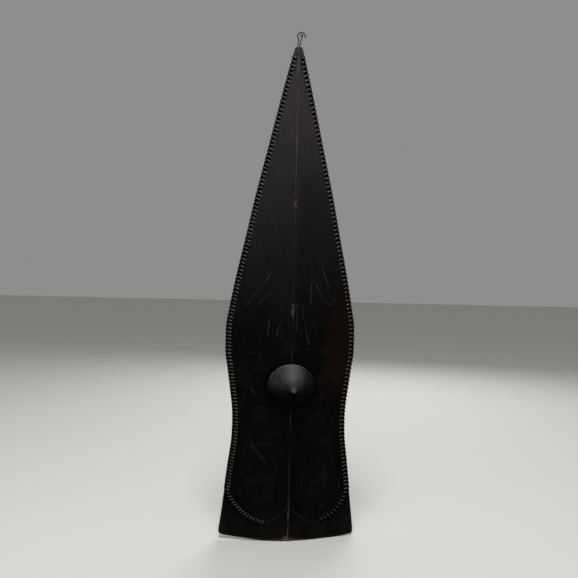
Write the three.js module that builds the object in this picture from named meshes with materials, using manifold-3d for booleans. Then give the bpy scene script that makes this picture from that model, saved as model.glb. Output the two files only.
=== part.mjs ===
// A tall wooden war shield, carved from one plank, with a keel down its front.
// A half coconut shell covers the hand hole, split rattan whips both rims, and a wire loop hangs at the tip.
// Millimetres. +Z runs up the shield, the front faces -Y, and the origin is the centre of the hand grip.

import * as THREE from 'three';
import { mergeVertices } from 'three/addons/utils/BufferGeometryUtils.js';
import Module from 'manifold-3d';

const wasm = await Module();
wasm.setup();

// Plank
const boardLength = 1170;
const footWidth = 326;
const gripHeight = 365;
const keelDepth = 28;
const ridgeThickness = 16;
const rimThickness = 7;
const thinTipWidth = 160;
const footSag = 7.5;
const footSkew = 4;
const footBlend = 60;
const footFlatWidth = 24;
const handHoleDiameter = 96;
const handHoleSides = 48;
const ringSpacing = 45;

// Heights up the plank, as shares of its length, and half widths there, as shares of half the foot width
const outlineShares = [
  [0, 0.98], [0.004, 0.995], [0.01, 1], [0.03, 0.985], [0.073, 0.95], [0.115, 0.915],
  [0.157, 0.88], [0.2, 0.84], [0.238, 0.83], [0.27, 0.84], [0.306, 0.875], [0.345, 0.915],
  [0.376, 0.95], [0.407, 0.955], [0.438, 0.95], [0.47, 0.91], [0.53, 0.83], [0.614, 0.7],
  [0.694, 0.58], [0.774, 0.445], [0.854, 0.31], [0.913, 0.21], [0.952, 0.14], [0.98, 0.09],
  [0.991, 0.07], [0.997, 0.058], [1, 0.044],
];
const sectionShares = [-1, -0.78, -0.52, -0.26, 0, 0.26, 0.52, 0.78, 1];
const keelCurveShare = 0.45;

// Grip, left standing across the hand hole
const gripWidth = 26;
const gripDepth = 20;
const gripFade = 22;
const gripEdgeRounding = 4;
const gripRear = gripDepth / 2;
const crestFromGrip = 16;
const gripRoot = 5;
const gripRoundingSteps = 3;
const gripFadeSteps = 6;

// Half coconut shell over the hand hole
const bossWidth = 112;
const bossHeight = 106;
const bossRise = 50;
const bossWall = 4;
const bossSkirt = 12;
const bossRoundness = 1.5;
const bossFullness = 0.55;
const bossNubDiameter = 5;
const bossNubHeight = 4;
const bossNubRingDiameter = 10;
const bossNubRingHeight = 1.2;
const bossSteps = 8;
const bossSegments = 32;

// Rattan ties that hold the shell down
const tieAngles = { upper_right: 45, upper_left: 135, lower_left: 225, lower_right: 315 };
const tieWidth = 3.2;
const tieThickness = 1.2;
const tieOutside = 6;
const tieHeight = 10;

// Rattan whipping round the rim, its turns closer together towards the foot
const stitchPitches = { left: { foot: 7.2, tip: 10 }, right: { foot: 9, tip: 11 } };
const strandWidth = 3.6;
const strandThickness = 1;
const stitchInset = 13;
const stitchInsetShare = 0.62;
const stitchTop = 26.5;
const frontLead = 3;
const rimLead = 5;
const rimSearchStep = 0.03;
const turnsPerStrand = 24;
const tailLength = 9;
const endShort = 3;
const lastEndShare = 0.45;
const footArcTop = 112;
const footArcEnds = { left: [58, 48], right: [80, 51] };
const footArcBulge = 11;
const footStitchLength = 12;

// Wire loop through the tip
const wireDiameter = 2;
const tipHoleDiameter = 3.4;
const tipHoleSides = 12;
const tipHoleDrop = 17.5;
const strandSpread = 1.8;
const spreadStartShare = 0.33;
const neckRise = 27;
const ringRadius = 9.5;
const ringOffset = 5.7;
const ringRise = 43;
const ringStartAngle = 225;
const ringSweep = 236;
const ringSteps = 20;
const curlRadius = 2.7;
const curlOffset = 6;
const curlRise = 44;
const curlStartAngle = -60;
const curlSweep = 290;
const curlSteps = 14;
const curlNearShare = 0.6;
const wireBendSteps = 3;
const wireSharpBend = 22;
const wireSides = 6;

// Clearances
const gap = 0.3;
const overrun = 20;

const crestY = -crestFromGrip;
const boardBottom = -gripHeight;
const boardTop = boardBottom + boardLength;
const footHalf = footWidth / 2;
const handHoleRadius = handHoleDiameter / 2;

// Materials
const woodLook = new THREE.MeshStandardMaterial({ color: 0x1f1c1b, roughness: 0.72, metalness: 0 });
const shellLook = new THREE.MeshStandardMaterial({ color: 0x2b2826, roughness: 0.6, metalness: 0 });
const rattanLook = new THREE.MeshStandardMaterial({ color: 0x3b342e, roughness: 0.45, metalness: 0 });
const wireLook = new THREE.MeshStandardMaterial({ color: 0x5f4638, roughness: 0.7, metalness: 0.6 });

const lerp = THREE.MathUtils.lerp;
const radians = THREE.MathUtils.degToRad;

// Solids and meshes

function toManifold(geometry) {
  const bare = geometry.clone();
  bare.deleteAttribute('normal');
  bare.deleteAttribute('uv');
  const merged = mergeVertices(bare);
  const vertProperties = new Float32Array(merged.attributes.position.array);
  const triVerts = new Uint32Array(merged.index.array);
  return new wasm.Manifold(new wasm.Mesh({ numProp: 3, vertProperties, triVerts }));
}

function toGeometry(solid) {
  const mesh = solid.getMesh();
  const geometry = new THREE.BufferGeometry();
  geometry.setAttribute('position', new THREE.BufferAttribute(new Float32Array(mesh.vertProperties), 3));
  geometry.setIndex(new THREE.BufferAttribute(new Uint32Array(mesh.triVerts), 1));
  geometry.computeVertexNormals();
  return geometry;
}

function signedVolume(positions, index) {
  const a = new THREE.Vector3();
  const b = new THREE.Vector3();
  const c = new THREE.Vector3();
  let volume = 0;
  for (let i = 0; i < index.length; i += 3) {
    a.fromArray(positions, 3 * index[i]);
    b.fromArray(positions, 3 * index[i + 1]);
    c.fromArray(positions, 3 * index[i + 2]);
    volume += a.dot(b.cross(c)) / 6;
  }
  return volume;
}

// Skins rings of equal point counts. A closed run joins its last ring to the first. The ends of an open one
// are closed by a fan, or by strips between the first half of the points, the given columns, and the rest.
function skin(rings, { closed = false, columns = 0 } = {}) {
  const count = rings[0].length;
  const positions = rings.flat().flatMap((point) => [point.x, point.y, point.z]);
  const index = [];
  const spans = closed ? rings.length : rings.length - 1;
  for (let i = 0; i < spans; i++) {
    const here = i * count;
    const next = ((i + 1) % rings.length) * count;
    for (let j = 0; j < count; j++) {
      const k = (j + 1) % count;
      index.push(here + j, next + j, next + k, here + j, next + k, here + k);
    }
  }
  const last = (rings.length - 1) * count;
  const cap = (a, b, c) => index.push(a, b, c, last + a, last + c, last + b);
  if (columns > 0) {
    for (let j = 0; j < columns - 1; j++) {
      const opposite = count - 1 - j;
      cap(j, j + 1, opposite - 1);
      cap(j, opposite - 1, opposite);
    }
  } else if (!closed) {
    for (let j = 1; j < count - 1; j++) {
      cap(0, j, j + 1);
    }
  }
  if (signedVolume(positions, index) < 0) {
    index.reverse();
  }
  const geometry = new THREE.BufferGeometry();
  geometry.setAttribute('position', new THREE.BufferAttribute(new Float32Array(positions), 3));
  geometry.setIndex(index);
  geometry.computeVertexNormals();
  return geometry;
}

// The plank's outline and faces

const outlineRings = (() => {
  const knots = outlineShares.map(
    ([height, half]) => new THREE.Vector2(half * footHalf, height * boardLength),
  );
  const curve = new THREE.SplineCurve(knots);
  const spans = knots.length - 1;
  const points = [curve.getPoint(0)];
  for (let i = 0; i < spans; i++) {
    const parts = Math.ceil(knots[i].distanceTo(knots[i + 1]) / ringSpacing);
    for (let j = 1; j <= parts; j++) {
      points.push(curve.getPoint((i + j / parts) / spans));
    }
  }
  return points.map((point) => ({ half: point.x, z: boardBottom + point.y }));
})();

function halfWidthAt(z) {
  const upper = outlineRings.findIndex((ring) => ring.z >= z);
  if (upper < 1) {
    return upper === 0 ? outlineRings[0].half : outlineRings[outlineRings.length - 1].half;
  }
  const low = outlineRings[upper - 1];
  const high = outlineRings[upper];
  return lerp(low.half, high.half, (z - low.z) / (high.z - low.z));
}

function keelFall(x) {
  const share = Math.abs(x) / footHalf;
  return keelDepth * ((1 - keelCurveShare) * share + keelCurveShare * share * share);
}

function thicknessAt(share, half) {
  const swell = (ridgeThickness - rimThickness) * Math.min(1, (2 * half) / thinTipWidth);
  return rimThickness + swell * (1 - Math.abs(share));
}

// Depth of the front and rear faces at one place, straight between the section's points and on past the rim
function facesAt(x, z) {
  const half = halfWidthAt(z);
  const share = x / half;
  const last = sectionShares.length - 1;
  let high = sectionShares.findIndex((value) => value >= share);
  high = high < 0 ? last : Math.max(1, high);
  const a = sectionShares[high - 1];
  const b = sectionShares[high];
  const t = (share - a) / (b - a);
  const [frontA, frontB] = [a, b].map((value) => crestY + keelFall(value * half));
  const [rearA, rearB] = [frontA + thicknessAt(a, half), frontB + thicknessAt(b, half)];
  const span = (b - a) * half;
  return {
    front: lerp(frontA, frontB, t),
    rear: lerp(rearA, rearB, t),
    frontSlope: (frontB - frontA) / span,
    rearSlope: (rearB - rearA) / span,
  };
}

// The foot's edge is an arc with a short flat at its middle, a little higher on the left
function footRise(x, half) {
  const flat = footFlatWidth / 2;
  const share = Math.max(0, Math.abs(x) - flat) / (half - flat);
  return footSag * share * share - Math.sign(x) * footSkew * share;
}

function footShares() {
  const flat = footFlatWidth / 2 / footHalf;
  return [...sectionShares, -flat, flat].sort((a, b) => a - b);
}

function plankBlank(frontGrowth, rearGrowth) {
  const shares = footShares();
  const rings = outlineRings.map((ring) => {
    const blend = Math.max(0, 1 - (ring.z - boardBottom) / footBlend);
    const at = (share) => {
      const x = share * ring.half;
      const faces = facesAt(x, ring.z);
      const lift = footRise(x, ring.half) * blend;
      return { x, z: ring.z + lift, front: faces.front - frontGrowth, rear: faces.rear + rearGrowth };
    };
    const columns = shares.map(at);
    const front = columns.map((c) => new THREE.Vector3(c.x, c.front, c.z));
    const rear = columns.map((c) => new THREE.Vector3(c.x, c.rear, c.z)).reverse();
    return [...front, ...rear];
  });
  return skin(rings, { columns: shares.length });
}

// A round bar along Y through the plank
function boreThrough(radius, x, z, sides) {
  const length = keelDepth + ridgeThickness + 2 * overrun;
  const bore = new THREE.CylinderGeometry(radius, radius, length, sides);
  bore.translate(x, crestY + length / 2 - overrun, z);
  return bore;
}

// The bar's side view, swept across the bar's width with rounded edges
function makeGripBar() {
  const reach = handHoleRadius + gripFade;
  const front = -gripDepth / 2 + gripEdgeRounding;
  const rear = gripRear - gripEdgeRounding;
  const root = crestY + ridgeThickness - gripRoot;
  const side = new THREE.Shape();
  side.moveTo(-reach, root);
  side.quadraticCurveTo(-handHoleRadius, rear, -handHoleRadius + gripFade, rear);
  side.lineTo(handHoleRadius - gripFade, rear);
  side.quadraticCurveTo(handHoleRadius, rear, reach, root);
  side.lineTo(handHoleRadius + gripRoot, front);
  side.lineTo(-handHoleRadius - gripRoot, front);
  side.closePath();
  const bar = new THREE.ExtrudeGeometry(side, {
    depth: gripWidth - 2 * gripEdgeRounding,
    bevelEnabled: true,
    bevelThickness: gripEdgeRounding,
    bevelSize: gripEdgeRounding,
    bevelSegments: gripRoundingSteps,
    curveSegments: gripFadeSteps,
  });
  bar.translate(0, 0, gripEdgeRounding - gripWidth / 2);
  const turn = new THREE.Matrix4().set(0, 0, 1, 0, 0, 1, 0, 0, -1, 0, 0, 0, 0, 0, 0, 1);
  bar.applyMatrix4(turn);
  return bar;
}

// Where the whipping runs: a row of holes up the foot's arc and then up the rim, from the ridge to the tip
function holeRow(name) {
  const side = name === 'left' ? -1 : 1;
  const { foot, tip } = stitchPitches[name];
  const meanPitch = (foot + tip) / 2;
  const widening = (tip - foot) / (tip + foot);
  const insetAt = (half) => Math.min(stitchInset, stitchInsetShare * half);
  const [endOffset, endHeight] = footArcEnds[name];
  const junctionZ = boardBottom + footArcTop;
  const junctionX = halfWidthAt(junctionZ) - stitchInset;
  const start = new THREE.Vector2(endOffset, boardBottom + endHeight);
  const junction = new THREE.Vector2(junctionX, junctionZ);
  const chord = junction.clone().sub(start);
  const outward = new THREE.Vector2(chord.y, -chord.x).normalize();
  const control = start.clone().add(junction).multiplyScalar(0.5).addScaledVector(outward, 2 * footArcBulge);
  const arc = new THREE.QuadraticBezierCurve(start, control, junction);
  const points = arc.getPoints(Math.ceil(arc.getLength() / strandThickness));
  const arcCount = points.length;
  const top = boardTop - stitchTop;
  const rimSteps = Math.ceil((top - junctionZ) / strandThickness);
  const pastTop = Math.ceil(meanPitch / strandThickness);
  for (let i = 1; i <= rimSteps + pastTop; i++) {
    const z = lerp(junctionZ, top, i / rimSteps);
    const half = halfWidthAt(z);
    points.push(new THREE.Vector2(half - insetAt(half), z));
  }
  const walked = [0];
  for (let i = 1; i < points.length; i++) {
    walked.push(walked[i - 1] + points[i].distanceTo(points[i - 1]));
  }
  const length = walked[arcCount - 1 + rimSteps];
  const turns = Math.round(length / meanPitch);
  const distanceOf = (turn) => {
    const share = turn / turns;
    return length * (share + widening * share * (share - 1));
  };
  const at = (distance) => {
    const clamped = THREE.MathUtils.clamp(distance, 0, walked[walked.length - 1]);
    const high = Math.max(1, walked.findIndex((value) => value >= clamped));
    const t = (clamped - walked[high - 1]) / (walked[high] - walked[high - 1]);
    return points[high - 1].clone().lerp(points[high], t);
  };
  const frameAt = (distance) => {
    const along = at(distance + meanPitch).sub(at(distance - meanPitch)).normalize();
    const inward = new THREE.Vector2(-along.y, along.x);
    const mirror = (v) => new THREE.Vector2(side * v.x, v.y);
    const onArc = distance < walked[arcCount - 1];
    return { hole: mirror(at(distance)), along: mirror(along), inward: mirror(inward), onArc };
  };
  return { turns, distanceOf, frameAt };
}

// The place outside the rim, or in the outer hole of the foot's arc, that a stitch reaches to
function outerPoint(frame, lift) {
  const reach = frame.inward.clone().multiplyScalar(-1);
  if (frame.onArc) {
    return frame.hole.clone().addScaledVector(reach, footStitchLength);
  }
  let distance = 0;
  const inside = () => {
    const p = frame.hole.clone().addScaledVector(reach, distance);
    return Math.abs(p.x) < halfWidthAt(p.y);
  };
  while (inside()) {
    distance += rimSearchStep;
  }
  return frame.hole.clone().addScaledVector(reach, distance + lift);
}

function liftOff(place, lift, onFront) {
  const { front, rear, frontSlope, rearSlope } = facesAt(place.x, place.y);
  const y = onFront ? front - lift * Math.hypot(1, frontSlope) : rear + lift * Math.hypot(1, rearSlope);
  return new THREE.Vector3(place.x, y, place.y);
}

// A corner of a strand that lies on a face, and the direction of its width there
function cornerOn(place, along, lift, onFront) {
  const { frontSlope, rearSlope } = facesAt(place.x, place.y);
  const slope = onFront ? frontSlope : rearSlope;
  const wide = new THREE.Vector3(along.x, along.x * slope, along.y).normalize();
  return [liftOff(place, lift, onFront), wide];
}

// A flat strand through corner points, mitred at each; sideways holds the direction of its width there
function flatStrand(points, sideways, width, thickness, closed = false) {
  const n = points.length;
  const rings = points.map((point, i) => {
    const before = closed ? points[(i + n - 1) % n] : points[Math.max(0, i - 1)];
    const after = closed ? points[(i + 1) % n] : points[Math.min(n - 1, i + 1)];
    const into = point.clone().sub(before);
    const out = after.clone().sub(point);
    const wide = sideways[i];
    const normals = [into, out].filter((d) => d.lengthSq() > 0).map((d) => wide.clone().cross(d).normalize());
    const mean = normals.reduce((sum, v) => sum.add(v), new THREE.Vector3()).normalize();
    const thick = mean.clone().multiplyScalar(thickness / 2 / mean.dot(normals[0]));
    const half = wide.clone().multiplyScalar(width / 2);
    return [
      point.clone().add(half).add(thick),
      point.clone().sub(half).add(thick),
      point.clone().sub(half).sub(thick),
      point.clone().add(half).sub(thick),
    ];
  });
  return skin(rings, { closed });
}

// Whipping: each turn comes up through its hole, crosses the front, and goes round the rim and behind to
// the next hole. The topmost turn ends behind, short of its own hole.
function whippingOf(name) {
  const row = holeRow(name);
  const lift = gap + strandThickness / 2;
  const frames = Array.from({ length: row.turns + 1 }, (_, i) => row.frameAt(row.distanceOf(i)));
  const leads = frames.map((frame, i) => {
    const front = row.frameAt(row.distanceOf(i) + frontLead);
    const rearLead = frame.onArc || i === row.turns ? frontLead : rimLead;
    const rear = row.frameAt(row.distanceOf(i) + rearLead);
    front.onArc = frame.onArc;
    rear.onArc = frame.onArc;
    return { front, rear };
  });
  const crossing = (i) => [
    cornerOn(frames[i].hole, frames[i].along, lift, true),
    cornerOn(outerPoint(leads[i].front, lift), leads[i].front.along, lift, true),
    cornerOn(outerPoint(leads[i].rear, lift), leads[i].rear.along, lift, false),
  ];
  const behindHole = (i) => cornerOn(frames[i].hole, frames[i].along, lift, false);
  const strandCount = Math.ceil(row.turns / turnsPerStrand);
  const strands = [];
  for (let k = 0; k < strandCount; k++) {
    const first = Math.round((k * row.turns) / strandCount);
    const last = Math.round(((k + 1) * row.turns) / strandCount);
    const tail = frames[first].hole.clone().addScaledVector(frames[first].inward, tailLength);
    const corners = [cornerOn(tail, frames[first].along, lift, false)];
    for (let i = first; i < last; i++) {
      corners.push(behindHole(i), ...crossing(i));
    }
    const before = corners[corners.length - 1][0];
    if (last < row.turns) {
      const [end, wide] = behindHole(last);
      const back = before.clone().sub(end).normalize();
      corners.push([end.addScaledVector(back, endShort), wide]);
    } else {
      corners.push(behindHole(last), ...crossing(last));
      const outer = corners[corners.length - 1][0];
      const [inner, wide] = cornerOn(leads[last].rear.hole, leads[last].rear.along, lift, false);
      corners.push([outer.clone().lerp(inner, lastEndShare), wide]);
    }
    strands.push(corners);
  }
  const outerSlots = leads.filter((lead) => lead.front.onArc);
  const places = [
    ...frames.map((frame) => ({ at: frame.hole, along: frame.along })),
    ...outerSlots.map((lead) => ({ at: outerPoint(lead.front, lift), along: lead.front.along })),
  ];
  return { strands, places };
}

// Slots for the whipping, each a little larger than the strand
function slotGeometry(place) {
  const length = keelDepth + ridgeThickness + 2 * overrun;
  const slot = new THREE.BoxGeometry(strandThickness + 2 * gap, length, strandWidth + 2 * gap);
  slot.rotateY(Math.atan2(place.along.x, place.along.y));
  slot.translate(place.at.x, crestY + length / 2 - overrun, place.at.y);
  return slot;
}

// Least distance between stretches of one path that are more than a given reach apart along it
function leastGap(points, reach, thickness) {
  const fine = [];
  const walked = [];
  let distance = 0;
  const step = thickness / 2;
  for (let i = 0; i + 1 < points.length; i++) {
    const span = points[i].distanceTo(points[i + 1]);
    const parts = Math.max(1, Math.ceil(span / step));
    for (let j = 0; j < parts; j++) {
      fine.push(points[i].clone().lerp(points[i + 1], j / parts));
      walked.push(distance + (span * j) / parts);
    }
    distance += span;
  }
  let least = Infinity;
  for (let i = 0; i < fine.length; i++) {
    for (let j = i + 1; j < fine.length; j++) {
      if (walked[j] - walked[i] > reach) {
        least = Math.min(least, fine[i].distanceTo(fine[j]));
      }
    }
  }
  return least - thickness;
}

// Half coconut shell
function bossProfile(radius, rise, nub) {
  const points = [new THREE.Vector2(radius, nub ? -bossSkirt : -bossSkirt - overrun)];
  for (let i = 0; i <= bossSteps; i++) {
    const share = Math.cos((i / bossSteps) * (Math.PI / 2));
    points.push(new THREE.Vector2(radius * share, rise * (1 - share ** bossRoundness) ** bossFullness));
  }
  if (nub) {
    points.pop();
    points.push(new THREE.Vector2(bossNubRingDiameter / 2, rise - bossNubRingHeight / 2));
    points.push(new THREE.Vector2(bossNubRingDiameter / 2 - bossNubRingHeight, rise + bossNubRingHeight));
    points.push(new THREE.Vector2(bossNubDiameter / 2, rise));
    points.push(new THREE.Vector2(bossNubDiameter / 2 - bossNubRingHeight / 2, rise + bossNubHeight));
    points.push(new THREE.Vector2(0, rise + bossNubHeight));
  } else {
    points[points.length - 1].x = 0;
  }
  return points;
}

function domeSolid(radius, rise, nub) {
  const profile = bossProfile(radius, rise, nub);
  const closed = [new THREE.Vector2(0, profile[0].y), ...profile];
  const dome = new THREE.LatheGeometry(closed, bossSegments);
  dome.rotateX(Math.PI);
  dome.scale(1, 1, bossHeight / bossWidth);
  dome.translate(0, crestY, 0);
  return toManifold(dome);
}

// How far the shell's wall stands out at one height over the crest, as a share of its rim
function wallShare(height, rise) {
  const climbed = Math.max(0, height) / rise;
  return (1 - climbed ** (1 / bossFullness)) ** (1 / bossRoundness);
}

function tieFrame(angle) {
  const turn = radians(angle);
  const out = new THREE.Vector2(Math.cos(turn), Math.sin(turn));
  const stretch = 1 / Math.hypot(out.x, (out.y * bossWidth) / bossHeight);
  const reach = (bossWidth / 2) * stretch;
  const spot = (radius) => out.clone().multiplyScalar(radius);
  const foot = facesAt(spot(reach).x, spot(reach).y);
  const level = foot.front - tieHeight;
  const height = crestY - level;
  const outside = reach * wallShare(height, bossRise);
  const inside = (bossWidth / 2 - bossWall) * stretch * wallShare(height, bossRise - bossWall);
  const wide = new THREE.Vector3(-out.y, 0, out.x);
  return { out, spot, wide, level, outside, inside, hole: reach + tieOutside };
}

function makeTie(angle) {
  const frame = tieFrame(angle);
  const lift = gap + tieThickness / 2;
  const place = (radius, y) => new THREE.Vector3(frame.spot(radius).x, y, frame.spot(radius).y);
  const outer = frame.spot(frame.hole);
  const inner = frame.spot(handHoleRadius - lift);
  const mouth = facesAt(inner.x, inner.y).front - lift;
  const points = [
    liftOff(outer, lift, true),
    place(frame.outside + lift, frame.level),
    place(frame.inside - lift - gap, frame.level),
    place(handHoleRadius - lift, mouth),
    liftOff(inner, lift, false),
    liftOff(outer, lift, false),
  ];
  return flatStrand(points, points.map(() => frame.wide), tieWidth, tieThickness, true);
}

function tieSlots(angle) {
  const frame = tieFrame(angle);
  const at = frame.spot(frame.hole);
  const length = keelDepth + ridgeThickness + 2 * overrun;
  const board = new THREE.BoxGeometry(tieThickness + 2 * gap, length, tieWidth + 2 * gap);
  board.rotateY(Math.atan2(-frame.out.y, frame.out.x));
  board.translate(at.x, crestY + length / 2 - overrun, at.y);
  const wallMiddle = frame.spot((frame.outside + frame.inside) / 2);
  const shell = new THREE.BoxGeometry(2 * bossWall, tieThickness + 2 * gap, tieWidth + 2 * gap);
  shell.rotateY(Math.atan2(-frame.out.y, frame.out.x));
  shell.translate(wallMiddle.x, frame.level, wallMiddle.y);
  return { board, shell };
}

// The wire's middle line, from the ring's free end through the tip hole to the curl
function wirePath() {
  const lift = wireDiameter / 2 + gap;
  const holeZ = boardTop - tipHoleDrop;
  const faces = facesAt(0, holeZ);
  const middle = (faces.front + faces.rear) / 2;
  const front = faces.front - lift;
  const rear = faces.rear + lift;
  const point = (x, y, rise) => new THREE.Vector3(x, y, holeZ + rise);
  const ring = [];
  for (let i = 0; i <= ringSteps; i++) {
    const turn = radians(ringStartAngle - ringSweep * (1 - i / ringSteps));
    const across = ringOffset + ringRadius * Math.cos(turn);
    ring.push(point(across, middle, ringRise + ringRadius * Math.sin(turn)));
  }
  const curl = [];
  for (let i = 0; i <= curlSteps; i++) {
    const turn = radians(curlStartAngle + (curlSweep * i) / curlSteps);
    const across = curlOffset + curlRadius * Math.cos(turn);
    curl.push(point(across, middle, curlRise + curlRadius * Math.sin(turn)));
  }
  const overTip = tipHoleDrop + lift;
  return [
    ...ring,
    point(-strandSpread, middle, neckRise),
    point(-strandSpread, front, overTip),
    point(-strandSpread / 2, front, tipHoleDrop * spreadStartShare),
    point(0, front, 0),
    point(0, rear, 0),
    point(strandSpread / 2, rear, tipHoleDrop * spreadStartShare),
    point(strandSpread, rear, overTip),
    point(strandSpread, middle, neckRise),
    point(curlOffset - curlRadius + wireDiameter / 2, middle, ringRise - ringRadius + wireDiameter),
    ...curl,
  ];
}

// Rounds every sharp bend of a path by a short curve
function roundedPath(points, radius, steps) {
  const smooth = [points[0]];
  for (let i = 1; i < points.length - 1; i++) {
    const back = points[i - 1].clone().sub(points[i]);
    const ahead = points[i + 1].clone().sub(points[i]);
    const bend = Math.PI - back.angleTo(ahead);
    if (bend < radians(wireSharpBend)) {
      smooth.push(points[i]);
      continue;
    }
    const cut = Math.min(radius, back.length() / 2, ahead.length() / 2);
    const from = points[i].clone().addScaledVector(back.normalize(), cut);
    const to = points[i].clone().addScaledVector(ahead.normalize(), cut);
    const curve = new THREE.QuadraticBezierCurve3(from, points[i], to);
    smooth.push(...curve.getPoints(steps));
  }
  smooth.push(points[points.length - 1]);
  return smooth;
}

// A round tube along points, its section carried along without twist
function roundTube(points, radius, sides) {
  const tangents = points.map((point, i) => {
    const before = points[Math.max(0, i - 1)];
    const after = points[Math.min(points.length - 1, i + 1)];
    return after.clone().sub(before).normalize();
  });
  const side = new THREE.Vector3(0, 1, 0).projectOnPlane(tangents[0]).normalize();
  const rings = points.map((point, i) => {
    if (i > 0) {
      const turn = new THREE.Quaternion().setFromUnitVectors(tangents[i - 1], tangents[i]);
      side.applyQuaternion(turn).projectOnPlane(tangents[i]).normalize();
    }
    const up = tangents[i].clone().cross(side);
    return Array.from({ length: sides }, (_, j) => {
      const turn = (2 * Math.PI * j) / sides;
      const offset = side.clone().multiplyScalar(Math.cos(turn)).addScaledVector(up, Math.sin(turn));
      return point.clone().addScaledVector(offset, radius);
    });
  });
  return skin(rings);
}

// Assembly

const whipping = { left: whippingOf('left'), right: whippingOf('right') };
const ties = Object.entries(tieAngles).map(([name, angle]) => ({ name, angle, slots: tieSlots(angle) }));

function makeBoard() {
  const holeZ = boardTop - tipHoleDrop;
  let board = toManifold(plankBlank(0, 0));
  board = board.subtract(toManifold(boreThrough(handHoleRadius, 0, 0, handHoleSides)));
  board = board.add(toManifold(makeGripBar()));
  board = board.subtract(toManifold(boreThrough(tipHoleDiameter / 2, 0, holeZ, tipHoleSides)));
  for (const run of Object.values(whipping)) {
    for (const place of run.places) {
      board = board.subtract(toManifold(slotGeometry(place)));
    }
  }
  for (const tie of ties) {
    board = board.subtract(toManifold(tie.slots.board));
  }
  return toGeometry(board);
}

function makeBoss() {
  const outer = domeSolid(bossWidth / 2, bossRise, true);
  const inner = domeSolid(bossWidth / 2 - bossWall, bossRise - bossWall, false);
  let boss = outer.subtract(inner);
  boss = boss.subtract(toManifold(plankBlank(gap, overrun)));
  for (const tie of ties) {
    boss = boss.subtract(toManifold(tie.slots.shell));
  }
  return toGeometry(boss);
}

const shield = new THREE.Group();
shield.name = 'wooden_shield';

function place(name, geometry, look) {
  const mesh = new THREE.Mesh(geometry, look);
  mesh.name = name;
  shield.add(mesh);
}

place('board', makeBoard(), woodLook);
place('boss_shell', makeBoss(), shellLook);
for (const tie of ties) {
  place(`boss_tie_${tie.name}`, makeTie(tie.angle), rattanLook);
}

let whippingGap = Infinity;
for (const [side, run] of Object.entries(whipping)) {
  run.strands.forEach((corners, k) => {
    const points = corners.map(([point]) => point);
    const sideways = corners.map(([, wide]) => wide);
    const geometry = flatStrand(points, sideways, strandWidth, strandThickness);
    whippingGap = Math.min(whippingGap, leastGap(points, 2 * stitchInset, strandWidth));
    place(`rim_whipping_${side}_${k + 1}`, geometry, rattanLook);
  });
}
console.log(`Least gap of the whipping to itself: ${whippingGap.toFixed(2)} mm`);

const wire = roundedPath(wirePath(), wireDiameter, wireBendSteps);
const wireGap = leastGap(wire, 2 * Math.PI * curlRadius * curlNearShare, wireDiameter);
place('hanging_wire', roundTube(wire, wireDiameter / 2, wireSides), wireLook);
console.log(`Least gap of the wire to itself: ${wireGap.toFixed(2)} mm`);

export default shield;
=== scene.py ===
"""The looks of a tall wooden hand shield: a sooty carved plank, a coconut shell boss, rattan whipping."""

import math
from collections import namedtuple

import bpy
import numpy as np
from mathutils import Matrix, Vector, geometry, kdtree, noise


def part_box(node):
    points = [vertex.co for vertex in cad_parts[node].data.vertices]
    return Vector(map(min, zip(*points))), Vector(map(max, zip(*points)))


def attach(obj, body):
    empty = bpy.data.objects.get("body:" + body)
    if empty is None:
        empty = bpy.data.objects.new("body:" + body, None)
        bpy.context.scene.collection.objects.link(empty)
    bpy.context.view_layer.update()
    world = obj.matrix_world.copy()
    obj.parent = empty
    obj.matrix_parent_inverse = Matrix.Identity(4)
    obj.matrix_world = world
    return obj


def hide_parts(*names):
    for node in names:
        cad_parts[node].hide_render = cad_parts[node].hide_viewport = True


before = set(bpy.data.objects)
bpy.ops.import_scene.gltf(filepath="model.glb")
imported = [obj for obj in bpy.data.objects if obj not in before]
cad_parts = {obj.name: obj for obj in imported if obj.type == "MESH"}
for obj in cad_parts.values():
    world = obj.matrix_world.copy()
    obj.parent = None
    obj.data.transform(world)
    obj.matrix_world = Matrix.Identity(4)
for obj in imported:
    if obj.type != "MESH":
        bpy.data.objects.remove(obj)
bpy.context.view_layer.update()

MM = 0.001

# The frame's own sizes
board_low, board_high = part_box("board")
FOOT = board_low.z / MM
TIP = board_high.z / MM
CREST = board_low.y / MM
LENGTH = TIP - FOOT
SHIELD = "shield"
HANGER = "hanger"

# The plank's form, in millimetres and as shares of its length and half width
HALF_FOOT = 163
KEEL_DEPTH = 28
KEEL_CURVE_SHARE = 0.45
RIDGE_THICKNESS = 16
RIM_THICKNESS = 7
THIN_TIP_WIDTH = 160
FOOT_SAG = 7.5
FOOT_SKEW = 4
FOOT_BLEND = 60
FOOT_FLAT_WIDTH = 24
OUTLINE_SHARES = [
    (0, 0.98), (0.004, 0.995), (0.01, 1), (0.03, 0.985), (0.073, 0.95), (0.115, 0.915), (0.157, 0.88),
    (0.2, 0.84), (0.238, 0.83), (0.27, 0.84), (0.306, 0.875), (0.345, 0.915), (0.376, 0.95), (0.407, 0.955),
    (0.438, 0.95), (0.47, 0.91), (0.53, 0.83), (0.614, 0.7), (0.694, 0.58), (0.774, 0.445), (0.854, 0.31),
    (0.913, 0.21), (0.952, 0.14), (0.98, 0.09), (0.991, 0.07), (0.997, 0.058), (1, 0.044),
]
HAND_HOLE_RADIUS = 48
HAND_HOLE_POINTS = 96
TIP_HOLE_RADIUS = 1.7
TIP_HOLE_DROP = 17.5
TIP_HOLE_POINTS = 14
RIM_ROUNDING = 1.3
HOLE_ROUNDING = 2.5
RIDGE_ROUNDING = 1.4
ROUNDING_RING_SHARE = 0.35
OUTLINE_SLACK = 0.12
CUT_DEPTH = 0.28
BROAD_FACET = (23, 70, 3.1)
FINE_FACET = (9, 31, 7.7)
DEEPEST_FACET = 0.6
FACETS_FROM_RIM = (0, 6)
FACETS_FROM_HOLE = (3, 12)
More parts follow.
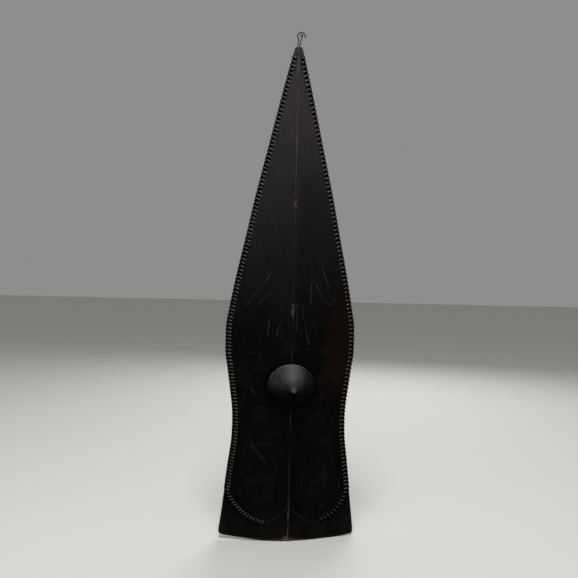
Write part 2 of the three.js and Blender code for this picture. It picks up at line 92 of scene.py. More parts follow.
RIM_PALE_FADE = (0.5, 2.6)

# How finely the plank is meshed
RIM_STEP = 3
LINE_STEP = 2.4
FIELD_STEP = 7.5
FIELD_CLEARANCE = 1.95
RIDGE_STRIP = 4
MERGE_DISTANCE = 1e-4
RIM_SAMPLE_STEP = 1
GROOVE_SAMPLE_STEP = 0.5

# The incised lines
GROOVE_WIDTH = 2
GROOVE_DEPTH = 0.8
DRAWN_DEPTHS = (0, 0.9)
SPIRAL_PITCH = 6.6
SPIRAL_HEART = 4
SPIRAL_WANDER = 0.9
SPIRAL_WANDER_SCALE = 1.7
LINE_RIM_CLEARANCE = 4
LINE_HOLE_CLEARANCE = 12
LINE_SLOT_CLEARANCE = 4.2
SHORTEST_RUN = 4
PAIR_WIDTH = 5


def smoothstep(low, high, value):
    t = np.clip((value - low) / (high - low), 0, 1)
    return t * t * (3 - 2 * t)


def unit(step):
    return step / np.linalg.norm(step)


def sideways(steps):
    """The unit direction to the left of each step."""
    steps = steps / np.linalg.norm(steps, axis=1)[:, None]
    return np.column_stack([-steps[:, 1], steps[:, 0]])


def bend(start, corner, end, t):
    """A place on the curve that leaves start for the corner and comes in to end."""
    return (1 - t) ** 2 * start + 2 * t * (1 - t) * corner + t**2 * end


def noise_round(turn, scale, depth):
    """Smooth noise that closes on itself over a full turn."""
    return noise.noise(Vector((math.cos(turn) * scale, math.sin(turn) * scale, depth)))


# The outline

def split_count(a, b, step):
    return max(1, math.ceil(np.linalg.norm(b - a) / step))


def smooth_curve(points, step):
    """Points about a step apart along a Catmull-Rom curve through the given ones."""
    made = [points[0]]
    ends = [points[0], *points, points[-1]]
    for p0, p1, p2, p3 in zip(ends, ends[1:], ends[2:], ends[3:]):
        v0, v1 = (p2 - p0) / 2, (p3 - p1) / 2
        count = split_count(p1, p2, step)
        for t in np.arange(1, count + 1) / count:
            cubic = (2 * p1 - 2 * p2 + v0 + v1) * t**3
            made.append(cubic + (-3 * p1 + 3 * p2 - 2 * v0 - v1) * t**2 + v0 * t + p1)
    return np.array(made)


outline_points = [np.array([half * HALF_FOOT, FOOT + height * LENGTH]) for height, half in OUTLINE_SHARES]
outline = smooth_curve(outline_points, RIM_STEP)


def half_width(z):
    return np.interp(z, outline[:, 1], outline[:, 0])


def keel_fall(x):
    rounded = np.sqrt(np.square(x) + RIDGE_ROUNDING**2) - RIDGE_ROUNDING
    share = rounded / HALF_FOOT
    return KEEL_DEPTH * ((1 - KEEL_CURVE_SHARE) * share + KEEL_CURVE_SHARE * share**2)


def thickness(x, z):
    half = half_width(z)
    swell = (RIDGE_THICKNESS - RIM_THICKNESS) * np.minimum(1, 2 * half / THIN_TIP_WIDTH)
    return RIM_THICKNESS + swell * (1 - np.minimum(1, np.abs(x) / half))


def foot_rise(x, half):
    flat = FOOT_FLAT_WIDTH / 2
    share = np.maximum(0, np.abs(x) - flat) / (half - flat)
    return FOOT_SAG * share**2 - np.sign(x) * FOOT_SKEW * share


def front_face(x, z):
    return CREST + keel_fall(x)


def rear_face(x, z):
    return front_face(x, z) + thickness(x, z)


def rim_side(sign):
    """One side's edge, which rises near the foot as the foot's corner does."""
    x = sign * (outline[:, 0] - OUTLINE_SLACK)
    z = outline[:, 1]
    blend = np.maximum(0, 1 - (z - FOOT) / FOOT_BLEND)
    return np.column_stack([x, z + foot_rise(x, np.abs(x)) * blend])


def rim_loop():
    """The plank's edge as one closed loop, anticlockwise as seen from the front."""
    corner = outline[0, 0]
    xs = np.linspace(-corner, corner, round(2 * corner / RIM_STEP))[1:-1]
    foot = np.column_stack([xs, FOOT + foot_rise(xs, corner)])
    return np.vstack([foot, rim_side(1), rim_side(-1)[::-1]])


def inset(loop, distance):
    return loop + distance * sideways(np.roll(loop, -1, axis=0) - np.roll(loop, 1, axis=0))


def circle(radius, x, z, count):
    turn = np.arange(count) * 2 * math.pi / count
    return np.column_stack([x + radius * np.cos(turn), z + radius * np.sin(turn)])


# Distances in the plank's plane

def tree_of(points):
    tree = kdtree.KDTree(len(points))
    for i, (x, z) in enumerate(points):
        tree.insert((x, 0, z), i)
    tree.balance()
    return tree


def nearest(points, samples):
    """Distance from each point to the nearest sample."""
    tree = tree_of(samples)
    return np.array([tree.find((x, 0, z))[2] for x, z in points])


# The slots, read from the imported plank

SLOT_RIM_CLEARANCE = 1.5
SLOT_SPAN = 4.9
SLOT_REACH = 3.4
SLOT_LEAST_CORNERS = 4
SLOT_CHAMFER_SHARE = 0.45
FAR_CORNER_SHARE = 0.9
SOOT_FILL = 0.38


def shared_corners():
    """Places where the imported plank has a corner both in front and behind."""
    places = {}
    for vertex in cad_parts["board"].data.vertices:
        key = (round(vertex.co.x / MM, 2), round(vertex.co.z / MM, 2))
        places.setdefault(key, set()).add(round(vertex.co.y / MM, 1))
    deep = RIM_THICKNESS / 2
    return np.array([key for key, depths in places.items() if max(depths) - min(depths) > deep])


def off_the_rim(points):
    return np.abs(points[:, 0]) < half_width(points[:, 1]) - SLOT_RIM_CLEARANCE


def slots_from_board():
    """Centre, long direction, half length and half width of every slot."""
    shared = shared_corners()
    tree = tree_of(shared)
    taken = set()
    found = []
    for i in np.flatnonzero(off_the_rim(shared)):
        if i in taken:
            continue
        x, z = shared[i]
        group = [n for _, n, _ in tree.find_range((x, 0, z), SLOT_SPAN)]
        points = shared[group]
        points = points[off_the_rim(points)]
        centre = (points.min(0) + points.max(0)) / 2
        spread = points - centre
        reach = np.linalg.norm(spread, axis=1)
        if len(points) < SLOT_LEAST_CORNERS or reach.max() > SLOT_REACH:
            continue
        taken.update(group)
        far = spread[reach > FAR_CORNER_SHARE * reach.max()]
        axes = np.linalg.eigh(far.T @ far)[1]
        found.append((centre, axes[:, 1], np.abs(far @ axes[:, 1]).max(), np.abs(far @ axes[:, 0]).max()))
    return found


slots = slots_from_board()


def slot_loop(centre, along, half_long, half_wide):
    """A slot with its corners cut, closed up to the strand by soot."""
    across = np.array([-along[1], along[0]])
    long, wide = half_long - SOOT_FILL, half_wide - SOOT_FILL
    cut_long, cut_wide = SLOT_CHAMFER_SHARE * long, SLOT_CHAMFER_SHARE * wide
    shape = [
        (long, -cut_wide), (long, cut_wide), (cut_long, wide), (-cut_long, wide),
        (-long, cut_wide), (-long, -cut_wide), (-cut_long, -wide), (cut_long, -wide),
    ]
    return np.array([centre + along * a + across * b for a, b in shape])


# The whipping's rows of holes, from the foot's arc up to the tip

STITCH_PITCHES = {"left": (7.2, 10), "right": (9, 11)}
STITCH_INSET = 13
STITCH_INSET_SHARE = 0.62
STITCH_TOP = 26.5
FRONT_LEAD = 3
RIM_LEAD = 5
TURNS_PER_STRAND = 24
FOOT_ARC_TOP = 112
FOOT_ARC_ENDS = {"left": (58, 48), "right": (80, 51)}
FOOT_ARC_BULGE = 11
FOOT_STITCH_LENGTH = 12
ARC_POINTS = 120
ROW_POINTS = 1200
REACH_TRIES = 400
SIDES = {"left": -1, "right": 1}


class HoleRow:
    """Places along one row of holes, by the distance walked along it from the foot."""

    def __init__(self, name):
        self.side = SIDES[name]
        foot_pitch, tip_pitch = STITCH_PITCHES[name]
        self.pitch = (foot_pitch + tip_pitch) / 2
        self.widening = (tip_pitch - foot_pitch) / (tip_pitch + foot_pitch)
        end_x, end_z = FOOT_ARC_ENDS[name]
        top = TIP - STITCH_TOP
        start = np.array([end_x, FOOT + end_z], float)
        low = FOOT + FOOT_ARC_TOP
        junction = np.array([half_width(low) - STITCH_INSET, low])
        inward = sideways((junction - start)[None])[0]
        control = (start + junction) / 2 - 2 * FOOT_ARC_BULGE * inward
        arc = bend(start, control, junction, np.linspace(0, 1, ARC_POINTS)[:, None])
        heights = np.linspace(low, top + self.pitch, ROW_POINTS)[1:]
        halves = half_width(heights)
        insets = np.minimum(STITCH_INSET, STITCH_INSET_SHARE * halves)
        self.points = np.vstack([arc, np.column_stack([halves - insets, heights])])
        steps = np.linalg.norm(np.diff(self.points, axis=0), axis=1)
        self.walked = np.concatenate([[0], np.cumsum(steps)])
        self.on_arc = self.walked[len(arc) - 1]
        self.length = np.interp(top, self.points[:, 1], self.walked)
        self.turns = round(self.length / self.pitch)

    def distance_of(self, turn):
        share = turn / self.turns
        return self.length * (share + self.widening * share * (share - 1))

    def at(self, distance):
        return np.array([np.interp(distance, self.walked, self.points[:, i]) for i in (0, 1)])

    def frame(self, distance, lift=0):
        """The hole, the row's direction and the outer end of a stitch that starts there."""
        along = unit(self.at(distance + self.pitch) - self.at(distance - self.pitch))
        hole = self.at(distance)
        outward = np.array([along[1], -along[0]])
        reach = FOOT_STITCH_LENGTH
        if distance >= self.on_arc:
            tries = np.linspace(0, 2 * STITCH_INSET, REACH_TRIES)
            inside = hole[0] + tries * outward[0] < half_width(hole[1] + tries * outward[1])
            reach = tries[inside].max() + lift
        mirror = np.array([self.side, 1])
        return hole * mirror, along * mirror, (hole + reach * outward) * mirror


rows = {name: HoleRow(name) for name in SIDES}


# The painted shade that each stitch lies in, a black band, by its shares along the stitch and its widths
# about it
BAND_SHARES = (0.48, 0.56, 0.64, 0.72)
BAND_CORE = 5.3
BAND_REACH = 6.3


def stitch_samples():
    """Points along the middle of every stitch on the front."""
    made = []
    for row in rows.values():
        for i in range(row.turns + 1):
            hole, _, outer = row.frame(row.distance_of(i))
            made.extend(hole + (outer - hole) * share for share in BAND_SHARES)
    return np.array(made)


# The ornament, in millimetres from the ridge and above the foot, as seen from the front

def spiral(x, z, radius, start, hand):
    """A spiral cut from its outer end to its centre, with the small wander of a hand-held blade."""
    turns = (radius - SPIRAL_HEART) / SPIRAL_PITCH
    count = round(turns * math.pi * radius / LINE_STEP)
    share = np.linspace(0, 1, count)
    turn = math.radians(start) + hand * share * turns * 2 * math.pi
    reach = radius + (SPIRAL_HEART - radius) * share
    reach += [SPIRAL_WANDER * noise_round(t, SPIRAL_WANDER_SCALE, x) for t in turn]
    return np.column_stack([x + reach * np.cos(turn), z + FOOT + reach * np.sin(turn)])


def stroke(*places):
    return smooth_curve([np.array([x, z + FOOT], float) for x, z in places], LINE_STEP)


def double(line, apart=PAIR_WIDTH):
    side = sideways(np.gradient(line, axis=0)) * apart / 2
    return [line + side, line - side]


# How clearly a line shows, from worn nearly away to fresh
FAINT = 0.25
LIGHT = 0.42
SOFT = 0.62
CLEAR = 1
WORN_DEPTH_SHARE = 0.55

spirals = [
    spiral(-97, 403, 50, 320, 1),
    spiral(83, 413, 48, 230, -1),
    spiral(-68, 268, 47, 60, 1),
    spiral(69, 262, 47, 150, -1),
    spiral(-77, 131, 47, 60, 1),
]
clearest_spiral = spiral(74, 128, 52, 120, -1)
strokes = [
    stroke((-53, 635), (-62, 621), (-70, 608), (-86, 589), (-98, 574), (-108, 554)),
    stroke((-49, 588), (-65, 578), (-75, 568), (-84, 555)),
    stroke((50, 675), (68, 656), (75, 635), (81, 618), (89, 601)),
    stroke((46, 617), (52, 616), (63, 594), (73, 575), (84, 565), (96, 562), (103, 571), (100, 580)),
    stroke((45, 617), (43, 596), (43, 564)),
    stroke((22, 561), (25, 536), (30, 513), (36, 485), (41, 466)),
    stroke((9, 557), (12, 562), (16, 557)),
    stroke((9, 557), (10, 526), (10, 496)),
    stroke((-55, 527), (-58, 484)),
    stroke((-30, 516), (-37, 484)),
    stroke((-10, 768), (-10.5, 740), (-10, 712)),
    stroke((-62, 42), (-45, 47), (-28, 57)),
]
soft_strokes = [
    *double(stroke((-95, 359), (-80, 345), (-65, 332))),
    *double(stroke((-99, 237), (-76, 209), (-53, 182))),
    *double(stroke((80, 344), (68, 333), (56, 321))),
    stroke((-28, 57), (-15, 66), (-4, 82)),
    stroke((50, 535), (52, 507)),
    stroke((78, 44), (61, 44), (39, 50), (17, 66), (5, 80)),
]
worn_strokes = [
    *double(stroke((90, 209), (60, 181), (29, 153))),
    stroke((-19, 492), (-10, 459)),
    stroke((5, 618), (43, 619)),
    stroke((-20, 461), (-6, 457)),
    stroke((28, 453), (42, 453)),
]
grooves = {
    FAINT: spirals + worn_strokes,
    LIGHT: [clearest_spiral],
    SOFT: soft_strokes,
    CLEAR: strokes,
}


# Making pieces

def placed(name, data):
    piece = bpy.data.objects.new(name, data)
    bpy.context.scene.collection.objects.link(piece)
    return piece


def mesh_piece(name, vertices, faces, sharp=38):
    """A smooth piece from millimetres, creased where its faces meet at more than the sharp angle."""
    mesh = bpy.data.meshes.new(name)
    mesh.from_pydata((vertices * MM).tolist(), [], faces)
    mesh.validate()
    mesh.shade_smooth()
    mesh.set_sharp_from_angle(angle=math.radians(sharp))
    return placed(name, mesh)


def add_values(piece, name, parts):
    """One number for each point, for the material to read."""
    layer = piece.data.attributes.new(name, "FLOAT", "POINT")
    layer.data.foreach_set("value", np.concatenate(parts).astype(np.float32))


def loft(rings):
    """Points and faces between rings of equal counts, with flat ends."""
    count = len(rings[0])
    faces = []
    for first in range(0, (len(rings) - 1) * count, count):
        for j in range(count):
            k = (j + 1) % count
            faces.append((first + j, first + k, first + count + k, first + count + j))
    last = (len(rings) - 1) * count
    faces.append(tuple(range(count))[::-1])
    faces.append(tuple(last + j for j in range(count)))
    return np.vstack(rings), faces


# The plank's mesh: one flat triangulation, lifted to the front face and to the rear face and walled between

class Plan:
    """Points and constrained edges in the plank's plane."""

    def __init__(self):
        self.points = []
        self.edges = []

    def run(self, points, closed):
        first = len(self.points)
        self.points.extend(map(tuple, points))
        count = len(points)
        self.edges.extend((first + i, first + i + 1) for i in range(count - 1))
        if closed:
            self.edges.append((first + count - 1, first))


def inside_loop(points, loop):
    """Whether each point lies inside a closed loop, by counting crossings."""
    inside = np.zeros(len(points), bool)
    x, z = points[:, 0], points[:, 1]
    for (x0, z0), (x1, z1) in zip(loop, np.roll(loop, -1, axis=0)):
        if z0 != z1:
            crosses = (z0 > z) != (z1 > z)
            inside ^= crosses & (x < (x1 - x0) * (z - z0) / (z1 - z0) + x0)
    return inside


def densified(line, step, closed=False):
    loop = np.vstack([line, line[:1]]) if closed else line
    made = []
    for a, b in zip(loop[:-1], loop[1:]):
        count = split_count(a, b, step)
        made.extend(a + (b - a) * k / count for k in range(count))
    made.append(loop[-1])
    return np.array(made)


def clipped(line, rim_samples):
    """The parts of a line that lie on the plank, clear of its rim, the slots and the hand hole."""
    keep = nearest(line, rim_samples) > LINE_RIM_CLEARANCE
    keep &= inside_loop(line, rim)
    keep &= np.hypot(line[:, 0], line[:, 1]) > HAND_HOLE_RADIUS + LINE_HOLE_CLEARANCE
    for centre, *_ in slots:
        keep &= np.linalg.norm(line - centre, axis=1) > LINE_SLOT_CLEARANCE
    breaks = np.flatnonzero(~keep)
    parts = np.split(line, sorted({*breaks, *(breaks + 1)}))
    flags = np.split(keep, sorted({*breaks, *(breaks + 1)}))
    return [part for part, kept in zip(parts, flags) if len(part) >= SHORTEST_RUN and kept.all()]


rim = rim_loop()


def groove_ends(line):
    """The point just past each end of a groove, where the cut has run out."""
    ends = ((line[0], line[1]), (line[-1], line[-2]))
    return [tuple(end + unit(end - before) * GROOVE_WIDTH / 2) for end, before in ends]


def ridge_points():
    """Columns of points that hold the ridge's shape, clear of the plank's ends and the tip hole."""
    low = FOOT + 2 * RIM_ROUNDING
    high = TIP - 2 * RIM_ROUNDING
    heights = np.linspace(low, high, round((high - low) / RIM_STEP / 2))
    from_hole = np.abs(heights - TIP + TIP_HOLE_DROP)
    made = []
    for x in (-RIDGE_STRIP, -RIDGE_ROUNDING, 0, RIDGE_ROUNDING, RIDGE_STRIP):
        clear = (abs(x) < half_width(heights) - 2 * RIM_ROUNDING) & (from_hole > 2 * TIP_HOLE_RADIUS)
        made.extend((float(x), z) for z in heights[clear])
    return made


def plank_plan(groove_runs):
    plan = Plan()
    plan.run(rim, True)
    for distance in (RIM_ROUNDING * ROUNDING_RING_SHARE, RIM_ROUNDING):
        plan.run(inset(rim, distance), True)
    for distance in (0, HOLE_ROUNDING * ROUNDING_RING_SHARE, HOLE_ROUNDING):
        plan.run(circle(HAND_HOLE_RADIUS + distance, 0, 0, HAND_HOLE_POINTS), True)
    plan.run(circle(TIP_HOLE_RADIUS, 0, TIP - TIP_HOLE_DROP, TIP_HOLE_POINTS), True)
    for slot in slots:
        plan.run(slot_loop(*slot), True)
    for line in groove_runs:
        plan.run(line, False)
        for side in double(line, GROOVE_WIDTH):
            plan.run(side, False)
        plan.points.extend(groove_ends(line))
    plan.points.extend(ridge_points())
    return plan


def add_field(plan):
    """Fills the open face with a staggered grid that keeps clear of what is there."""
    tree = tree_of(plan.points)
    row_step = FIELD_STEP * math.sqrt(3) / 2
    columns = int(HALF_FOOT / FIELD_STEP) + 1
    for row in range(int(LENGTH / row_step)):
        z = FOOT + row * row_step
        shift = (row % 2) * FIELD_STEP / 2
        for column in range(-columns, columns + 1):
            x = column * FIELD_STEP + shift
            on_face = abs(x) <= half_width(z) - 2 * RIM_ROUNDING
            if on_face and tree.find((x, 0, z))[2] > FIELD_CLEARANCE:
                plan.points.append((x, z))


def carve_marks(points):
    """Shallow facets left by the carver's blade, from nothing to their full depth."""
    def facet(x, z, wide, tall, seed):
        return abs(noise.noise(Vector((x / wide, z / tall, seed))))

    depth = [facet(x, z, *BROAD_FACET) + 0.5 * facet(x, z, *FINE_FACET) for x, z in points]
    return np.clip(np.array(depth) / DEEPEST_FACET, 0, 1)


def open_triangles(points, triangles):
    """The triangles that lie on wood: inside the rim and outside every hole and slot."""
    middles = points[triangles].mean(axis=1)
    keep = inside_loop(middles, rim)
    keep &= np.hypot(middles[:, 0], middles[:, 1]) > HAND_HOLE_RADIUS * math.cos(math.pi / HAND_HOLE_POINTS)
    from_tip_hole = np.hypot(middles[:, 0], middles[:, 1] - TIP + TIP_HOLE_DROP)
    keep &= from_tip_hole > TIP_HOLE_RADIUS * math.cos(math.pi / TIP_HOLE_POINTS)
    for slot in slots:
        index = np.flatnonzero((np.linalg.norm(middles - slot[0], axis=1) < SLOT_REACH) & keep)
        keep[index[inside_loop(middles[index], slot_loop(*slot))]] = False
    return triangles[keep]


def flat_plank(groove_runs):
    """The plank seen from the front, as points and triangles that turn alike."""
    plan = plank_plan(groove_runs)
    add_field(plan)
    flat = [Vector(point) for point in plan.points]
    made, _, faces, *_ = geometry.delaunay_2d_cdt(flat, plan.edges, [], 0, MERGE_DISTANCE)
    points = np.array([tuple(vertex) for vertex in made])
    triangles = open_triangles(points, np.array([face for face in faces if len(face) == 3]))
    corner = points[triangles]
    turn = np.cross(corner[:, 1] - corner[:, 0], corner[:, 2] - corner[:, 0])
    triangles[turn < 0] = triangles[turn < 0][:, ::-1]
    used, renumbered = np.unique(triangles, return_inverse=True)
    return points[used], renumbered.reshape(-1, 3)


def rounding(distance, radius):
    """How far a face drops back near an edge of the given radius."""
    reach = np.clip(radius - distance, 0, radius)
    return radius - np.sqrt(np.maximum(0, radius**2 - reach**2))


def groove_values(points, runs):
    """How deep each point is cut and how clearly it is drawn."""
    cut, drawn = np.zeros(len(points)), np.zeros(len(points))
    for strength, lines in runs.items():
        samples = np.vstack([densified(line, GROOVE_SAMPLE_STEP) for line in lines])
        depth = np.clip(1 - 2 * nearest(points, samples) / GROOVE_WIDTH, 0, 1)
        cut = np.maximum(cut, depth * (WORN_DEPTH_SHARE if strength <= LIGHT else 1))
        drawn = np.maximum(drawn, strength * smoothstep(*DRAWN_DEPTHS, depth))
    return cut, drawn


def plank_piece():
    rim_samples = densified(rim, RIM_SAMPLE_STEP, True)
    runs = {
        strength: [run for line in lines for run in clipped(line, rim_samples)]
        for strength, lines in grooves.items()
    }
    points, triangles = flat_plank([run for lines in runs.values() for run in lines])
    x, z = points[:, 0], points[:, 1]
    from_rim = nearest(points, rim_samples)
    from_hole = np.hypot(x, z) - HAND_HOLE_RADIUS
    cut, drawn = groove_values(points, runs)
    facets = carve_marks(points)
    facets *= smoothstep(*FACETS_FROM_RIM, from_rim) * smoothstep(*FACETS_FROM_HOLE, from_hole)
    edge = rounding(from_rim, RIM_ROUNDING) + rounding(from_hole, HOLE_ROUNDING)
    front = front_face(x, z) + edge + CUT_DEPTH * facets + GROOVE_DEPTH * cut
    rear = rear_face(x, z) - edge - 2 * CUT_DEPTH * facets
    count = len(points)
    vertices = np.vstack([np.column_stack([x, front, z]), np.column_stack([x, rear, z])])
    backs = triangles[:, ::-1] + count
    directed = {tuple(e) for t in triangles for e in ((t[0], t[1]), (t[1], t[2]), (t[2], t[0]))}
    walls = [(b, a, a + count, b + count) for a, b in directed if (b, a) not in directed]
    piece = mesh_piece("plank", vertices, [*triangles.tolist(), *backs.tolist(), *walls])
    # painted shade: the wood round each stitch turns black
    band = 1 - smoothstep(BAND_CORE, BAND_REACH, nearest(points, stitch_samples()))
    add_values(piece, "groove", [drawn, np.zeros(count)])
    add_values(piece, "band", [band, np.zeros(count)])
    add_values(piece, "rim", [1 - smoothstep(*RIM_PALE_FADE, from_rim)] * 2)
    return piece


# Materials

class Shader:
    """A short hand for building one material's nodes."""

    def __init__(self, name):
        self.material = bpy.data.materials.new(name)
        self.material.use_nodes = True
        self.nodes = self.material.node_tree.nodes
        self.links = self.material.node_tree.links
        self.nodes.clear()
        self.surface = self.node("ShaderNodeBsdfPrincipled")
        self.node("ShaderNodeOutputMaterial", {0: self.surface.outputs[0]})
        self.object_place = self.node("ShaderNodeTexCoord").outputs["Object"]

    def feed(self, node, inputs):
        """Sets or joins inputs by their names or numbers."""
        for key, value in inputs.items():
            socket = node.inputs[key]
            if hasattr(value, "links"):
                self.links.new(value, socket)
            else:
                socket.default_value = (*value, 1) if socket.type == "RGBA" else value

    def node(self, kind, inputs=None, **settings):
        made = self.nodes.new(kind)
        for name, value in settings.items():
            setattr(made, name, value)
        self.feed(made, inputs or {})
        return made

    def finish(self, base, roughness, specular=0.5, **others):
        inputs = {"Base Color": base, "Roughness": roughness, "Specular IOR Level": specular}
        self.feed(self.surface, {**inputs, **others})
        return self.material

    def noise(self, scale, detail=4, roughness=0.6, stretch=(1, 1, 1)):
        place = self.node("ShaderNodeMapping", {"Vector": self.object_place, "Scale": stretch}).outputs[0]
        inputs = {"Vector": place, "Scale": scale, "Detail": detail, "Roughness": roughness}
        return self.node("ShaderNodeTexNoise", inputs).outputs["Fac"]

    def ramp(self, value, low, high, start=0, end=1):
        """A smooth step from start to end while the value goes from low to high."""
        inputs = {"Value": value, "From Min": low, "From Max": high, "To Min": start, "To Max": end}
        return self.node("ShaderNodeMapRange", inputs, interpolation_type="SMOOTHSTEP").outputs[0]

    def math(self, kind, a, b=0):
        return self.node("ShaderNodeMath", {0: a, 1: b}, operation=kind).outputs[0]

    def product(self, first, *others):
        for other in others:
            first = self.math("MULTIPLY", first, other)
        return first

    def mix(self, share, a, b):
        return self.node("ShaderNodeMix", {0: share, 6: a, 7: b}, data_type="RGBA").outputs[2]

    def layered(self, base, *layers):
        """A base with tints laid over it in turn, each as strong as the product of its shares."""
        for tint, *shares in layers:
            base = self.mix(self.product(*shares), base, tint)
        return base

    def attribute(self, name):
        return self.node("ShaderNodeAttribute", attribute_name=name).outputs["Fac"]

    def axes(self, vector):
        return self.node("ShaderNodeSeparateXYZ", {0: vector}).outputs

    def place(self):
        """How far right, back and up a point lies, in metres."""
        return self.axes(self.object_place)

    def normal(self):
        """How much a face looks right, back and up."""
        return self.axes(self.node("ShaderNodeNewGeometry").outputs["Normal"])

    def bump(self, height, strength, distance):
        inputs = {"Height": height, "Strength": strength, "Distance": distance}
        return self.node("ShaderNodeBump", inputs).outputs[0]


def sooty_wood():
    """Black, oily soot over brown wood, worn through along the keel and dusted in the cuts, with a painted
    highlight along the keel's crest, painted light on its left facet and painted shade on the upper right
    and round the stitches.
    """
    s = Shader("sooty_wood")
    grain = s.noise(420, 5, 0.65, (1, 1, 0.045))
    fibre = s.noise(1500, 3, 0.6, (1, 1, 0.02))
    cloud = s.noise(9, 4, 0.6, (1, 1, 0.5))
    patch = s.noise(26, 5, 0.7, (1, 1, 0.35))
    fine = s.noise(160, 4, 0.7, (1, 1, 0.12))
    speck = s.noise(420, 2, 0.5, (1, 1, 0.45))
    side, _, height = s.place()
    backward = s.normal()[1]
    across = s.math("ABSOLUTE", side)
    drawn, band = s.attribute("groove"), s.attribute("band")

    def up(low, high, *ends):
        """A smooth step along the height."""
        return s.ramp(height, low, high, *ends)

    black, thin_soot = (0.0009, 0.0009, 0.0009), (0.0029, 0.0028, 0.0027)
    grey_soot, red_soot = (0.005, 0.0048, 0.0046), (0.0094, 0.0045, 0.0034)
    keel_left_light, rosy_dust = (0.0095, 0.0092, 0.009), (0.044, 0.034, 0.032)
    paler_upper_wood, ridge_brown = (0.037, 0.035, 0.0342), (0.019, 0.013, 0.011)
    raw_wood = (0.022, 0.0135, 0.0075)
    dim_ridge_highlight, bright_ridge_highlight = (0.036, 0.0345, 0.033), (0.09, 0.086, 0.083)
    dark_straw, light_straw = (0.07, 0.06, 0.045), (0.13, 0.108, 0.078)
    spot_red, fleck, groove_dust = (0.018, 0.0065, 0.0058), (0.09, 0.07, 0.065), (0.078, 0.076, 0.074)
    film, foot_wood, toe_wood = (0.0086, 0.0081, 0.0074), (0.12, 0.075, 0.042), (0.13, 0.095, 0.07)
    rim_wood, stitch_shade = (0.03, 0.024, 0.019), (0.0004, 0.0004, 0.0004)
    dark_brown, light_brown = (0.021, 0.0135, 0.009), (0.075, 0.048, 0.031)

    # painted shade: the right of the upper plank takes less of the pale tint
    shaded = s.product(s.ramp(side, 0, 0.02), up(0.62, 0.42), 0.3)
    unshaded = s.math("SUBTRACT", 0.95, shaded)
    patchy = s.ramp(patch, 0.35, 0.5, 0.2, 1)
    left_of_keel = s.product(s.ramp(side, 0.03, -0.005), s.ramp(side, -0.055, -0.02))
    ragged = s.math("ADD", side, s.product(s.math("SUBTRACT", patch, 0.5), 0.05))
    slanted = s.math("SUBTRACT", height, s.product(side, 1.2))
    right = s.product(s.ramp(ragged, 0.066, 0.1), up(-0.07, 0.03), s.ramp(slanted, 0.1, 0.05))

    # A thin line along the keel's crest: a painted highlight, brighter towards the tip, that turns straw
    # near the foot and under the boss, where the wood is worn bare
    width = s.math("ADD", up(-0.24, -0.34, 0.0009, 0.0024), up(0.3, 0.46, 0, 0.0009))
    line = s.product(s.ramp(s.math("DIVIDE", across, width), 1, 0.2), s.ramp(fine, 0.42, 0.58, 0.2, 1))
    whole = s.math("MAXIMUM", up(0.44, 0.56, 0.2, 1), up(0.115, 0.09))
    line = s.product(line, s.math("MAXIMUM", s.ramp(speck, 0.45, 0.6), whole))
    under_boss = s.product(up(-0.1, -0.08), up(-0.03, -0.05))
    straw_stretch = s.math("ADD", up(-0.24, -0.28), under_boss)
    ridge_highlight = s.mix(up(0.2, 0.7), dim_ridge_highlight, bright_ridge_highlight)
    straw = s.mix(up(-0.32, -0.36), dark_straw, light_straw)

    low_spot = s.product(up(0.16, 0.165), up(0.2, 0.194))
    high_spot = s.product(up(0.42, 0.428), up(0.468, 0.458))
    spot = s.math("ADD", low_spot, high_spot)
    spot = s.product(spot, s.ramp(across, 0.0048, 0.0012), s.ramp(backward, 0, -0.5))
    kept = s.math("MAXIMUM", s.ramp(s.noise(24, 4, 0.65), 0.42, 0.6), s.ramp(drawn, 0.5, 0.9, 0.03, 0.8))
    brown = s.mix(s.ramp(grain, 0.35, 0.7), dark_brown, light_brown)

    base = s.layered(
        s.mix(s.ramp(grain, 0.38, 0.68), black, thin_soot),
        (grey_soot, s.ramp(cloud, 0.45, 0.72, 0, 0.5)),
        # paler towards the tip, less so on the upper right, where shade is painted
        (paler_upper_wood, up(0.02, 0.84), s.ramp(grain, 0.25, 0.65, 0.6, 1), unshaded),
        # painted light on the keel's left facet above the boss
        (keel_left_light, left_of_keel, up(0.05, 0.08), up(0.3, 0.16, 0, 0.5), s.ramp(fine, 0.38, 0.62)),
        (rosy_dust, up(0.48, 0.72), s.ramp(patch, 0.45, 0.6), 0.5),
        (red_soot, right, s.ramp(patch, 0.3, 0.6, 0.35, 0.8)),
        (ridge_brown, s.ramp(across, 0.006, 0.001), s.ramp(patch, 0.48, 0.6), 0.3),
        (raw_wood, s.ramp(across, 0.0055, 0.0025), up(-0.24, -0.29), s.ramp(fine, 0.42, 0.6, 0, 0.7)),
        # the keel's line: painted highlight, and bare wood near the foot
        (s.mix(straw_stretch, ridge_highlight, straw), line, 0.85),
        (spot_red, spot, 0.7),
        (fleck, spot, s.ramp(speck, 0.5, 0.58)),
        (film, up(-0.28, -0.345), s.ramp(patch, 0.4, 0.6, 0.15, 1), 0.7),
        (foot_wood, up(-0.3585, -0.3645), s.ramp(across, 0.05, 0.01, 0.1, 1), patchy),
        (toe_wood, up(-0.35, -0.361), s.ramp(across, 0.018, 0.004), s.ramp(fine, 0.36, 0.56, 0.1, 0.8)),
        # a paler strip along the plank's very edge
        (rim_wood, s.attribute("rim"), s.ramp(patch, 0.4, 0.6, 0.1, 0.4)),
        # painted shade round the stitches
        (stitch_shade, band),
        (groove_dust, drawn, kept, 0.8),
        (brown, s.ramp(backward, 0.3, 0.8), s.ramp(cloud, 0.3, 0.7, 0.6, 0.97)),
    )
    roughness = s.math("MAXIMUM", s.ramp(cloud, 0.3, 0.75, 0.4, 0.58), s.product(band, 0.9))
    relief = s.math("ADD", s.product(grain, 0.7), s.product(fibre, 0.3))
    return s.finish(base, roughness, 0.02, Normal=s.bump(relief, 0.4, 0.0005))


